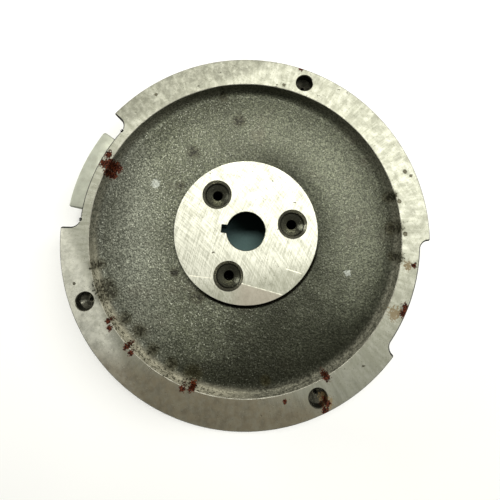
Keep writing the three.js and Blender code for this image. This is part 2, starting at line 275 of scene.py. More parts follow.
def casting_stretches():
    """The casting's outline in (radius, height), as stretches of one finish each, anticlockwise."""
    bowl_height = DISH_FLOOR - WEB_FALL + DISH_FILLET
    bowl_radius = DISH_MOUTH - MOUTH_EDGE[0] - (HEIGHT - bowl_height) * tangent(DISH_DRAFT) - DISH_FILLET
    hub_root = HUB_RADIUS + (HEIGHT - DISH_FLOOR) * tangent(HUB_DRAFT)
    web = web_front(hub_root + HUB_FILLET, bowl_radius)
    rear_foot = REAR_MOUTH - REAR_FLOOR * tangent(REAR_DRAFT)
    boss_root = BOSS_RADIUS + (REAR_FLOOR - BOSS_FACE) * tangent(REAR_DRAFT)
    bore_rear = BORE_RADIUS + (HEIGHT - BOSS_FACE) * TAPER
    hub_centre = web[-1][1] + HUB_FILLET
    rear_centre = REAR_FLOOR - REAR_FILLET
    mouth_foot = (DISH_MOUTH - MOUTH_EDGE[0], HEIGHT - MOUTH_EDGE[1])
    front_skin = [
        mouth_foot,
        *arc(bowl_radius, bowl_height, DISH_FILLET, -DISH_DRAFT, -90, 10),
        *web[1:-1],
        *arc(hub_root + HUB_FILLET, hub_centre, HUB_FILLET, -90, HUB_DRAFT - 180, 4),
        (HUB_RADIUS + EDGE / 2, HEIGHT - EDGE),
    ]
    rear_skin = [
        (BOSS_RADIUS, BOSS_FACE),
        *arc(boss_root + REAR_FILLET, rear_centre, REAR_FILLET, 180 - REAR_DRAFT, 90, 5),
        *arc(rear_foot - REAR_FILLET, rear_centre, REAR_FILLET, 90, REAR_DRAFT, 5),
        (REAR_MOUTH, 0),
    ]
    return [
        (TURNED, FLAT_PITCH, [(RIM_RADIUS, EDGE), (RIM_RADIUS, HEIGHT - EDGE)]),
        (TURNED, FLAT_PITCH, [(RIM_RADIUS, HEIGHT - EDGE), (RIM_RADIUS - EDGE, HEIGHT)]),
        (GROUND, FLAT_PITCH, [(RIM_RADIUS - EDGE, HEIGHT), (DISH_MOUTH, HEIGHT)]),
        (TURNED, FLAT_PITCH, [(DISH_MOUTH, HEIGHT), mouth_foot]),
        (ROUGH, FRONT_PITCH, front_skin),
        (TURNED, FLAT_PITCH, [(HUB_RADIUS + EDGE / 2, HEIGHT - EDGE), (HUB_RADIUS, HEIGHT)]),
        (GROUND, FLAT_PITCH, [(HUB_RADIUS, HEIGHT), (BORE_RADIUS + EDGE / 2, HEIGHT)]),
        (DRILLED, FLAT_PITCH, [
            (BORE_RADIUS + EDGE / 2, HEIGHT),
            (BORE_RADIUS, HEIGHT - EDGE / 2),
            (bore_rear, BOSS_FACE + EDGE),
            (bore_rear + EDGE, BOSS_FACE),
        ]),
        (TURNED, FLAT_PITCH, [(bore_rear + EDGE, BOSS_FACE), (BOSS_RADIUS, BOSS_FACE)]),
        (ROUGH, REAR_PITCH, rear_skin),
        (TURNED, FLAT_PITCH, [(REAR_MOUTH, 0), (RIM_RADIUS - EDGE, 0), (RIM_RADIUS, EDGE)]),
    ]


def skin_height(point):
    """How far the sand-cast skin stands proud or low at a point."""
    return sum(noise.noise(point / size) * height for size, height in SKIN_WAVES)


def casting_body():
    """The turned and cast body, before any milling or drilling."""
    profile, bands = [], []
    for finish, pitch, corners in casting_stretches():
        part = resampled(corners, pitch)
        profile.extend(part)
        bands.extend([finish] * len(part))
    profile = np.array(profile)
    along = np.roll(profile, -1, axis=0) - np.roll(profile, 1, axis=0)
    outward = np.stack([along[:, 1], -along[:, 0]], axis=1)
    outward /= np.linalg.norm(outward, axis=1)[:, None]
    rows = len(profile)
    angles = np.linspace(0, 2 * math.pi, TURNED_SEGMENTS, endpoint=False)
    points = np.zeros((TURNED_SEGMENTS, rows, 3))
    for row, (radius, height) in enumerate(profile):
        rough, rough_before = bands[row] == ROUGH, bands[row - 1] == ROUGH
        reach_out, reach_up = outward[row]
        if rough != rough_before:
            reach_out, reach_up = math.copysign(SKIN_EDGE_LIFT, reach_out), 0
        for column, angle in enumerate(angles):
            flat = Vector((radius * math.cos(angle), radius * math.sin(angle), height))
            lift = skin_height(flat) if rough or rough_before else 0
            out = radius + reach_out * lift
            points[column, row] = (out * math.cos(angle), out * math.sin(angle), height + reach_up * lift)
    faces, marks = [], []
    for column in range(TURNED_SEGMENTS):
        here, after = column * rows, (column + 1) % TURNED_SEGMENTS * rows
        for row in range(rows):
            above = (row + 1) % rows
            faces.append([here + row, after + row, after + above, here + above])
            marks.append(bands[row])
    return mesh_object("flywheel_casting_fine", points.reshape(-1, 3), faces, marks)


def edge_cut_outline(floor, half_angle, fillet, grow):
    """A cut in the rim's edge centred on +Y, grown on every side, with filleted inner corners."""
    floor -= grow
    fillet += grow
    corner = CUT_CORNER - grow
    half_angle += math.degrees(grow / RIM_RADIUS)
    fillet_circle = floor + fillet
    fillet_back = math.degrees(math.asin(fillet / fillet_circle))
    corner_circle = RIM_RADIUS - CORNER_SET_BACK * corner
    corner_on = math.degrees(math.asin(corner / corner_circle))
    floor_half = half_angle - fillet_back
    floor_arc = arc(0, 0, floor, 90 - floor_half, 90 + floor_half, 40)[1:-1]

    def side(sign):
        middle = math.radians(90 + sign * floor_half)
        onto_floor = 180 + 90 + sign * floor_half
        onto_wall = onto_floor - sign * (90 - fillet_back)
        inner = arc(fillet_circle * math.cos(middle), fillet_circle * math.sin(middle), fillet,
                    onto_floor, onto_wall, 8)
        outwards = 90 + sign * (half_angle + corner_on)
        centre = math.radians(outwards)
        outer = arc(corner_circle * math.cos(centre), corner_circle * math.sin(centre), corner,
                    90 + sign * (half_angle - 90), outwards - sign * 10, 6)
        beyond = RIM_RADIUS + PAST
        return inner + outer + [(beyond * math.cos(centre), beyond * math.sin(centre))]

    right, left = side(-1), side(1)
    far = arc(0, 0, (RIM_RADIUS + PAST) * 1.03, 90 - half_angle, 90 + half_angle, 12)
    # Anticlockwise: out along the right wall, over the far side, in along the left wall, along the floor.
    return right + far + left[::-1] + floor_arc[::-1]


def edge_cut(sizes, degrees):
    """A milled cut through the rim's full height with broken edges at both faces."""
    levels = [
        (-PAST, CUT_BREAK),
        (0, CUT_BREAK),
        (CUT_BREAK, 0),
        (HEIGHT - CUT_BREAK, 0),
        (HEIGHT, CUT_BREAK),
        (HEIGHT + PAST, CUT_BREAK),
    ]
    rings = []
    for height, grow in levels:
        flat = np.array(edge_cut_outline(grow=grow, **sizes))
        rings.append(np.column_stack([flat, np.full(len(flat), height)]))
    return moved(loft(rings), degrees=degrees - 90)


def drilled_hole(mouth, wall, chamfer, depth, pilot, pilot_depth):
    """A hole in the front face: broken mouth, straight wall, drill point, then a smaller pilot."""
    point_depth = depth + (wall - pilot) * tangent(DRILL_POINT)
    slope = (mouth - wall) / chamfer
    return lathe([
        (0.05, HEIGHT - pilot_depth - pilot * tangent(DRILL_POINT)),
        (pilot, HEIGHT - pilot_depth),
        (pilot, HEIGHT - point_depth - 0.15),
        (pilot + 0.15, HEIGHT - point_depth),
        (wall - 0.2, HEIGHT - depth - 0.12),
        (wall, HEIGHT - depth + 0.08),
        (wall, HEIGHT - chamfer),
        (mouth + slope, HEIGHT + 1),
    ], 72)


def keyway():
    rings = []
    for height, grow in [(-PAST, 0), (HEIGHT - BREAK / 2, 0), (HEIGHT + BREAK, BREAK * 1.5)]:
        across = KEY_WIDTH / 2 + grow
        reach = KEY_FLOOR + (HEIGHT - height) * TAPER + grow
        corners = [(0, -across), (reach, -across), (reach, across), (0, across)]
        rings.append(np.array([(x, y, height) for x, y in corners]))
    return moved(loft(rings), degrees=KEY_ANGLE)


def pin_groove(side):
    groove = lathe([(PIN_RADIUS + GAP, -PAST), (PIN_RADIUS + GAP, HEIGHT + PAST)], 24)
    return moved(groove, (POCKET["floor"], 0, 0), MAGNET_ANGLE - side * PIN_ANGLE)


def screw_hole(side):
    radius = SCREW_SHANK + GAP
    mouth = POCKET["floor"] + PAST
    hole = lathe([(radius, SCREW_HOLE_END), (radius, POCKET["floor"] - 0.4), (radius + 1.6, mouth)], 24)
    return lying_outwards(hole, MAGNET_ANGLE - side * SCREW_ANGLE)


def fine_casting(materials):
    body = casting_body()
    for material in materials:
        body.data.materials.append(material)
    hub_hole = drilled_hole(**HUB_HOLE)
    rim_hole = drilled_hole(**RIM_HOLE)
    hub_holes = [moved(hub_hole, (HUB_HOLE_CIRCLE, 0, 0), angle) for angle in HUB_HOLE_ANGLES]
    rim_holes = [moved(rim_hole, (RIM_HOLE_CIRCLE, 0, 0), angle) for angle in RIM_HOLE_ANGLES]
    edge_cuts = [edge_cut(POCKET, MAGNET_ANGLE), edge_cut(RELIEF, MAGNET_ANGLE + 180)]
    holes = [*hub_holes, *rim_holes, keyway()]
    cut(body, edge_cuts + holes, [MILLED] * len(edge_cuts) + [DRILLED] * len(holes))
    small_cuts = [shape(side) for side in (-1, 1) for shape in (pin_groove, screw_hole)]
    cut(body, small_cuts, [DRILLED] * len(small_cuts))
    shade(body, soft_finish=ROUGH)
    return body


# ---------------------------------------------------------------- the magnet group


def rounded_levels(low, high, edge):
    """Heights and insets that round the two ends of an extrusion."""
    steps = [math.radians(a) for a in (0, 30, 60, 90)]
    lower = [(low + edge * (1 - math.cos(a)), edge * (1 - math.sin(a))) for a in steps]
    upper = [(high - (height - low), inset) for height, inset in reversed(lower)]
    return lower + upper


def sector_outline(inner, outer, half_angle, corner):
    """A piece of a ring centred on +X with rounded corners, anticlockwise."""
    def rounded(circle, side, start):
        turned_by = side * (half_angle - math.degrees(math.asin(corner / circle)))
        centre = math.radians(turned_by)
        start += turned_by
        return arc(circle * math.cos(centre), circle * math.sin(centre), corner, start, start + 90, 4)

    outer_half = half_angle - math.degrees(corner / outer)
    inner_half = half_angle - math.degrees(corner / inner)
    outer_arc = arc(0, 0, outer, -outer_half, outer_half, 24)[1:-1]
    inner_arc = arc(0, 0, inner, inner_half, -inner_half, 24)[1:-1]
    outside = rounded(outer - corner, -1, -90) + outer_arc + rounded(outer - corner, 1, 0)
    inside = rounded(inner + corner, 1, 90) + inner_arc + rounded(inner + corner, -1, 180)
    return outside + inside


def sector(inner, outer, half_angle, low, high, corner=0.8, edge=0.5):
    rings = []
    for height, inset in rounded_levels(low, high, edge):
        spread = half_angle - math.degrees(inset / outer)
        flat = np.array(sector_outline(inner + inset, outer - inset, spread, corner))
        rings.append(np.column_stack([flat, np.full(len(flat), height)]))
    return moved(loft(rings), degrees=MAGNET_ANGLE)


def brick(inner, outer, left, right, low, high):
    """A block in the magnet group: inner to outer along the middle radius, left to right across it."""
    corners = [(inner, left), (outer, left), (outer, right), (inner, right)]
    rings = [np.array([(x, y, height) for x, y in corners]) for height in (low, high)]
    return moved(loft(rings), degrees=MAGNET_ANGLE)


def node_span(name):
    """Lowest and highest corner of a CAD node in the magnet group's own axes, in millimetres."""
    points = np.array([vertex.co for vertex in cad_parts[name].data.vertices]) / MM
    local = turn(points, -MAGNET_ANGLE)
    return local.min(0), local.max(0)


def rivet_hole(end):
    """Room for a rivet, whose two ends reach into the carrier."""
    low, high = node_span(f"{end}_shoe_rivet")
    middle = (low + high) / 2
    radius = (high[0] - low[0]) / 2 + GAP
    hole = lathe([(radius, low[2] - GAP), (radius, high[2] + GAP)], 32)
    return moved(hole, (middle[0], middle[1], 0), MAGNET_ANGLE)


def countersink(side, inner, outer):
    shank, head = SCREW_SHANK + GAP, SCREW_HEAD + GAP
    socket = lathe([(shank, inner), (shank, COUNTERSINK[0]), (head, COUNTERSINK[1]), (head, outer)], 48)
    return lying_outwards(socket, MAGNET_ANGLE + side * SCREW_ANGLE)


def fine_carrier(material):
    """Die-cast block with room for the magnet, the pole shoes, the rivets and the screws."""
    low, high = CARRIER_BOX[0].z / MM, CARRIER_BOX[1].z / MM
    inner, outer = POCKET["floor"] + GAP, RIM_RADIUS - GAP
    points, faces = sector(inner, outer, CARRIER_HALF, low, high, corner=1.2, edge=0.7)
    carrier = mesh_object("magnet_carrier_fine", points, faces)
    carrier.data.materials.append(material)
    ear_half = PIN_ANGLE - math.degrees((PIN_RADIUS + GAP) / POCKET["floor"])
    ears = sector(inner + 0.05, inner + EAR_REACH, ear_half, low + 0.05, EAR_TOP, corner=0.3, edge=0.3)
    cut(carrier, [ears], [0], "UNION")

    cutters = []
    for end, side in (("leading", -1), ("trailing", 1)):
        first_low, first_high = node_span(f"{end}_shoe_lamination_1")
        _, last_high = node_span(f"{end}_shoe_lamination_9")
        levels = (first_low[2] - GAP, last_high[2] + GAP)
        left, right = sorted(side * reach for reach in SHOE_WINDOW)
        cutters.append(brick(inner - PAST, outer + PAST, left - GAP, right + GAP, *levels))
        cutters.append(brick(inner - PAST, SHOE_FOOT_TOP, first_low[1] - GAP, first_high[1] + GAP, *levels))
        cutters.append(rivet_hole(end))
        cutters.append(countersink(side, inner - PAST, outer + PAST))
    magnet_low, magnet_high = node_span("ignition_magnet")
    levels = (magnet_low[2] - GAP, magnet_high[2] + GAP)
    cutters.append(brick(inner - PAST, magnet_high[0] + GAP, -MAGNET_HALF, MAGNET_HALF, *levels))
    for cutter in cutters:
        cut(carrier, [cutter], [0])
    shade(carrier)
    return carrier


def fine_screw(side, material):
    """Countersunk screw with a plain slot and a rolled thread."""
    top = RIM_RADIUS - SCREW_SUNK
    profile = [(0.3, SCREW_TIP), (SCREW_SHANK - 0.5, SCREW_TIP)]
    height = THREAD["from"]
    while height < THREAD["to"]:
        profile.append((SCREW_SHANK - THREAD["depth"], height))
        profile.append((SCREW_SHANK, height + THREAD["pitch"] / 2))
        height += THREAD["pitch"]
    profile.append((SCREW_SHANK - 0.1, top - SCREW_HEAD + SCREW_SHANK))
    profile.append((SCREW_HEAD - 0.12, top - 0.18))
    profile.append((SCREW_HEAD - 0.15, top - 0.05))
    profile.append((SCREW_HEAD - 0.35, top))
    points, faces = lying_outwards(lathe(profile, 40), MAGNET_ANGLE - side * SCREW_ANGLE)
    name = "leading" if side > 0 else "trailing"
    screw = mesh_object(f"{name}_carrier_screw_fine", points, faces)
    screw.data.materials.append(material)
    reach, half = SCREW_HEAD + 0.8, SLOT_WIDTH / 2
    slot_ring = [(-reach, -half), (reach, -half), (reach, half), (-reach, half)]
    slot = [np.array([(x, y, height) for x, y in slot_ring]) for height in (top - SLOT_DEPTH, top + 1)]
    cut(screw, [lying_outwards(loft(slot), MAGNET_ANGLE - side * SCREW_ANGLE)], [0])
    shade(screw)
    return screw


def fine_pin(side, material):
    """Tightly rolled spring pin: a rod with a slit along its side and chamfered ends."""
    low, high = 0.8, HEIGHT - 0.8
    rings = []
    for height, inset in [(low, PIN_CHAMFER), (low + 0.3, 0), (high - 0.3, 0), (high, PIN_CHAMFER)]:
        outside = arc(0, 0, PIN_RADIUS - inset, 15, 345, 20)
        inside = arc(0, 0, PIN_CORE, 315, 45, 20)
        rings.append(np.array([(x, y, height) for x, y in outside + inside]))
    points, faces = moved(loft(rings), (POCKET["floor"], 0, 0), MAGNET_ANGLE - side * PIN_ANGLE)
    name = "leading" if side > 0 else "trailing"
    pin = mesh_object(f"{name}_spring_pin_fine", points, faces)
    pin.data.materials.append(material)
    shade(pin)
    return pin


# ---------------------------------------------------------------- material helpers


class Paint:
    """Builds one material's nodes. A value is a number, a tuple or another node's output."""

    def __init__(self, name, metallic, roughness):
        self.material = bpy.data.materials.new(name)
        self.material.use_nodes = True
        self.tree = self.material.node_tree
        self.shader = self.tree.nodes["Principled BSDF"]
        self.give("Metallic", metallic)
        self.give("Roughness", roughness)
        coordinates = self.tree.nodes.new("ShaderNodeTexCoord")
        self.place = self.vector("SCALE", coordinates.outputs["Object"], scale=1 / MM)
        self.x, self.y, self.z = self.node("ShaderNodeSeparateXYZ", {0: self.place}).outputs

    def feed(self, socket, value):
        if isinstance(value, bpy.types.NodeSocket):
            self.tree.links.new(value, socket)
        else:
            socket.default_value = value

    def give(self, name, value):
        """Gives the shader's socket of that name a value."""
        self.feed(self.shader.inputs[name], value)

    def node(self, kind, inputs, **settings):
        made = self.tree.nodes.new(kind)
        for key, value in settings.items():
            setattr(made, key, value)
        for key, value in inputs.items():
            self.feed(made.inputs[key], value)
        return made

    def math(self, operation, *values):
        return self.node("ShaderNodeMath", dict(enumerate(values)), operation=operation).outputs[0]

    def times(self, first, second):
        return self.math("MULTIPLY", first, second)

    def vector(self, operation, *values, scale=None):
        inputs = dict(enumerate(values))
        if scale is not None:
            inputs["Scale"] = scale
        made = self.node("ShaderNodeVectorMath", inputs, operation=operation)
        return made.outputs["Value" if operation in ("DISTANCE", "LENGTH", "DOT_PRODUCT") else "Vector"]

    def noise(self, size, where=None, detail=2.0, roughness=0.5):
        """Soft noise from 0 to 1 with features of a size in millimetres."""
        where = self.place if where is None else where
        inputs = {"Vector": where, "Scale": 1 / size, "Detail": detail, "Roughness": roughness}
        return self.node("ShaderNodeTexNoise", inputs).outputs[0]

    def cells(self, size, where):
        inputs = {"Vector": where, "Scale": 1 / size}
        return self.node("ShaderNodeTexVoronoi", inputs).outputs["Distance"]

    def ramp(self, value, low, high, to_low=0.0, to_high=1.0):
        """Value carried smoothly from the range low..high to the range to_low..to_high."""
        inputs = {0: value, 1: low, 2: high, 3: to_low, 4: to_high}
        return self.node("ShaderNodeMapRange", inputs, interpolation_type="SMOOTHSTEP").outputs[0]

    def mix(self, share, first, second):
        def colour(value):
            return (*value, 1.0) if isinstance(value, tuple) else value
        inputs = {0: share, 6: colour(first), 7: colour(second)}
        return self.node("ShaderNodeMix", inputs, data_type="RGBA").outputs[2]

    def bump(self, height, depth):
        """Bump whose full height is a depth in millimetres."""
        inputs = {"Height": height, "Distance": depth * MM, "Strength": 1.0}
        normal = self.node("ShaderNodeBump", inputs).outputs[0]
        self.give("Normal", normal)

    def flat_place(self):
        return self.vector("MULTIPLY", self.place, (1, 1, 0))

    def radius(self):
        return self.vector("LENGTH", self.flat_place())

    def front(self):
        """1 on the fan side, 0 on the rear."""
        return self.ramp(self.z, DISH_FLOOR - 3, DISH_FLOOR - 1)

    def away_towards(self, degrees):
        """How far a point lies from the axis in one direction, in millimetres."""
        way = (math.cos(math.radians(degrees)), math.sin(math.radians(degrees)), 0)
        return self.vector("DOT_PRODUCT", self.place, way)

    def near_spots(self, spots):
        """1 at the middle of each (angle, radius, size) spot, falling to 0 at its size, on the fan side."""
        flat = self.flat_place()
        nearest = 0.0
        for angle, radius, size in spots:
            middle = (radius * math.cos(math.radians(angle)), radius * math.sin(math.radians(angle)), 0)
            away = self.vector("DISTANCE", flat, middle)
            nearest = self.math("MAXIMUM", self.math("MULTIPLY_ADD", away, -1 / size, 1.0), nearest)
        return self.times(nearest, self.front())

    def near_line(self, start, end, width):
        """1 on a straight scratch between two points, 0 beyond its width."""
        (x0, y0), (x1, y1) = start, end
        length = math.hypot(x1 - x0, y1 - y0)
        along = ((x1 - x0) / length, (y1 - y0) / length, 0)
        from_start = self.vector("SUBTRACT", self.flat_place(), (x0, y0, 0))
        reach = self.math("MAXIMUM", self.vector("DOT_PRODUCT", from_start, along), 0.0)
        reach = self.math("MINIMUM", reach, length)
        foot = self.vector("SCALE", along, scale=reach)
        away = self.vector("DISTANCE", from_start, foot)
        return self.times(self.ramp(away, width, width * 0.3), self.front())

    def patchy(self, near, size, reach=1.0):
        """Turns a soft nearness into a patch with a broken outline."""
        broken = self.math("MULTIPLY_ADD", self.noise(size, detail=3.0), 1.5, -0.85)
        return self.ramp(self.math("ADD", self.times(near, reach), broken), 0.25, 0.5)


# ---------------------------------------------------------------- marks of age, painted light and shade

# Patches and pits, as (angle, radius, size).
RUST = [
    (157.5, 80.5, 3.6), (161, 80, 4.4), (160.5, 77, 5.4), (163.5, 76.5, 4), (78, 91.5, 2.6),
    (219.5, 78.5, 2.4), (222, 79.5, 2.6), (230.5, 78.5, 2.8), (233, 79, 2.6), (254.5, 79, 2.6),
    (257.5, 77.5, 2.8),
    (305.5, 78.5, 3.2), (300.5, 90.5, 3), (302, 88.5, 2.6), (289.5, 81, 1.8), (339, 86, 4),
    (341, 85.5, 3.4), (355, 84.5, 2.2),
]
PALE_RUST = [(302, 88, 5), (337.5, 82, 6), (354.5, 81.5, 4)]
DARK_STAINS = [
    (207.5, 75.5, 6), (210.5, 75, 6), (222, 74, 4.5), (229.5, 72.5, 5), (238, 74, 4.5), (247, 74.5, 4.5),
    (256, 74, 6.5), (130, 51, 5), (151, 42.5, 3.5), (106, 75, 3.5), (8, 76, 5), (20, 77, 4), (240, 41, 5),
    (216, 42, 3.5), (357, 77, 4), (100, 60, 5), (284, 73, 3.5), (199, 76, 4),
]
LIGHT_SPOTS = [(158.5, 54, 4), (344.5, 56, 3)]
PITS = [
    (130, 86, 1.2), (27, 87, 1.5), (25, 89, 1.1), (17.5, 79, 1.5), (5.5, 79.5, 1.6), (203.5, 87, 1.1),
    (82, 80, 1.3),
]
# Scratches, as the (x, y) of their two ends.
SCRATCHES = [((-2, -25), (21, -28.6)), ((-25, -24.6), (-14, -24.6)), ((21.7, -16.1), (29.2, -17.5))]

# Directions from the axis in which a broad mark, painted light or painted shade is strongest.
WEB_LIGHT_SIDE = 195  # painted light and painted glints on the web
WEB_SHADE_SIDE = 293  # painted shade on the web
SHADED_SIDE = 30  # painted shadow at the hub's foot
HUB_FACE_SHADE_SIDE = 288  # painted shade on one side of the hub's face
STAINED_SIDE = 261  # the stain on the hub's face
RIM_HIGHLIGHT_SIDE = 213  # painted highlight on the rim's face
SMEARED_SIDE = 120  # a slightly duller part of the rim's face
GREASY_SIDE = 264  # the brownish part of the rim's face
DEPOSIT_AND_LIGHT_SIDE = 268  # the pale deposit and painted light on the dish's wall
SPOTTED_SIDE = 235  # the speckled part of that deposit


# ---------------------------------------------------------------- materials


def ageing(paint, colour):
    """Rust and dark oil stains over a colour. Returns the new colour and how rusty each point is."""
    near = paint.near_spots(DARK_STAINS)
    colour = paint.mix(paint.ramp(near, 0.0, 0.6, 0.0, 0.5), colour, (0.04, 0.036, 0.016))
    specks = paint.ramp(paint.math("MULTIPLY_ADD", near, 0.3, paint.noise(1.3, detail=3.0)), 0.64, 0.76)
    specks = paint.times(specks, paint.ramp(near, 0.0, 0.15, 0.0, 0.85))
    colour = paint.mix(specks, colour, (0.01, 0.009, 0.003))
    pale = paint.patchy(paint.near_spots(PALE_RUST), 0.9, 0.95)
    colour = paint.mix(paint.times(pale, 0.75), colour, (0.2, 0.14, 0.062))
    rust = paint.patchy(paint.near_spots(RUST), 0.8, 1.1)
    shade_of_rust = paint.ramp(paint.noise(0.7, detail=3.0), 0.42, 0.64)
    rust_colour = paint.mix(shade_of_rust, (0.01, 0.003, 0.002), (0.1, 0.025, 0.01))
    colour = paint.mix(rust, colour, rust_colour)
    return colour, paint.math("MAXIMUM", rust, paint.times(pale, 0.6))


def rough_skin():
    """Sand-cast iron: olive grey, grainy, with painted glints as bright specks where the sand's grains left
    facets, and painted light and shade across the web.
    """
    paint = Paint("rough_cast_iron", 0.0, 0.5)
    radius = paint.radius()
    grain = paint.noise(0.85, detail=3.0, roughness=0.6)
    drift = paint.node("ShaderNodeTexNoise", {"Vector": paint.place, "Scale": 0.7}).outputs[1]
    pebbles = paint.cells(1.7, paint.vector("ADD", paint.place, paint.vector("SCALE", drift, scale=1.2)))
    # Painted light: the web's grains are paler towards one side, where light falls.
    lit_web = paint.ramp(paint.away_towards(WEB_LIGHT_SIDE), 34, 64, 0.0, 0.85)
    bright = paint.mix(lit_web, (0.225, 0.238, 0.162), (0.42, 0.435, 0.35))
    hollow = paint.mix(lit_web, (0.047, 0.053, 0.032), (0.09, 0.1, 0.078))
    base = paint.mix(paint.ramp(grain, 0.34, 0.66), hollow, bright)
    base = paint.mix(paint.ramp(pebbles, 0.3, 0.75, 0.0, 0.45), base, (0.05, 0.052, 0.036))
    warm = paint.ramp(paint.noise(16.0), 0.55, 0.75, 0.0, 0.25)
    base = paint.mix(warm, base, (0.11, 0.088, 0.062))
    # Painted glints: bright specks in the grain, more of them towards the lit side.
    glint = paint.ramp(paint.noise(0.75, detail=1.0), 0.59, 0.7)
    glint_share = paint.ramp(paint.away_towards(WEB_LIGHT_SIDE), -40, 55, 0.12, 0.45)
    swell = paint.ramp(paint.noise(26.0, detail=2.0), 0.35, 0.65, 0.0, 0.3)
    base = paint.mix(swell, base, (0.035, 0.036, 0.02))
    bloom = paint.patchy(paint.near_spots(LIGHT_SPOTS), 1.0)
    base = paint.mix(paint.times(bloom, 0.6), base, (0.5, 0.53, 0.48))

    # Painted shade: a dark film darkens one side, the foot of the dish's wall and the hub's foot, where the
    # hub's shadow falls.
    cloud = paint.math("MULTIPLY_ADD", paint.noise(11.0, detail=4.0), 44.0, -22.0)
    sideways = paint.math("ABSOLUTE", paint.away_towards(WEB_SHADE_SIDE + 90))
    downwards = paint.math("ADD", paint.away_towards(WEB_SHADE_SIDE), cloud)
    across = paint.math("MULTIPLY_ADD", sideways, -0.6, downwards)
    unshaded = paint.ramp(across, -10, 52, 1.0, 0.28)
    # Painted shade towards the foot of the dish's wall, and painted shadow round the hub's foot, deepest on
    # the shaded side.
    wall_foot_shade = paint.ramp(radius, 58, 74, 1.0, 0.66)
    hub_shade = paint.ramp(paint.away_towards(SHADED_SIDE), 5, 30, 0.85, 0.4)
    hub_foot_shadow = paint.ramp(radius, 36.5, 53, hub_shade, 1.0)
    # Painted shadow: a black line at the hub's root on the shaded side.
    corner = paint.times(paint.ramp(radius, 39, 38), paint.ramp(across, -15, 15))
    unshaded = paint.times(unshaded, paint.times(wall_foot_shade, hub_foot_shadow))
    unshaded = paint.times(unshaded, paint.ramp(corner, 0, 1, 1.0, 0.02))
    shaded_foot = paint.times(paint.ramp(radius, 72, 74.5), paint.ramp(paint.y, 60, 0))
    unshaded = paint.times(unshaded, paint.ramp(shaded_foot, 0, 1, 1.0, 0.6))
    base = paint.mix(unshaded, (0.004, 0.004, 0.002), base)
    # The painted glints are laid over the colour, fewer of them in the painted shade.
    bare_glint = paint.times(glint, paint.ramp(unshaded, 0.0, 0.8, 0.2, 1.0))
    base = paint.mix(paint.times(bare_glint, glint_share), base, (0.55, 0.56, 0.46))

    # A pale dried deposit lies on the dish's wall, thickest on the lower left, and its pale colour also
    # stands in for the light that falls on the wall there.
    foot = DISH_FLOOR - WEB_FALL
    wall = paint.times(paint.ramp(radius, 73, 75), paint.ramp(paint.z, foot + 0.2, foot + 3.4))
    low_side = paint.ramp(paint.away_towards(DEPOSIT_AND_LIGHT_SIDE), -80, 30, 0.42, 1.0)
    crust = paint.ramp(paint.noise(2.2, detail=4.0, roughness=0.65), 0.36, 0.56, 0.45, 1.0)
    deposit_and_light = paint.times(paint.times(wall, low_side), crust)
    grainy = paint.mix(paint.ramp(grain, 0.34, 0.66), (0.14, 0.136, 0.1), (0.4, 0.39, 0.3))
    base = paint.mix(paint.times(deposit_and_light, 0.85), base, grainy)
    spotted = paint.times(wall, paint.ramp(paint.away_towards(SPOTTED_SIDE), 50, 70, 0.0, 0.85))
    base = paint.mix(spotted, base, (0.56, 0.53, 0.4))
    spots = paint.ramp(paint.noise(1.1, detail=3.0), 0.5, 0.6)
    base = paint.mix(paint.times(spotted, spots), base, (0.035, 0.032, 0.015))

    base, rust = ageing(paint, base)
    paint.give("Base Color", base)
    shine = paint.times(unshaded, paint.ramp(rust, 0.0, 1.0, 0.5, 0.1))
    paint.give("Specular IOR Level", shine)
    dull = paint.math("MAXIMUM", rust, deposit_and_light)
    paint.give("Metallic", paint.ramp(dull, 0.0, 1.0, 0.4, 0.0))
    paint.give("Roughness", paint.ramp(glint, 0.0, 1.0, 0.5, 0.35))
    height = paint.math("MULTIPLY_ADD", pebbles, -0.4, grain)
    paint.bump(height, 0.32)
    return paint.material


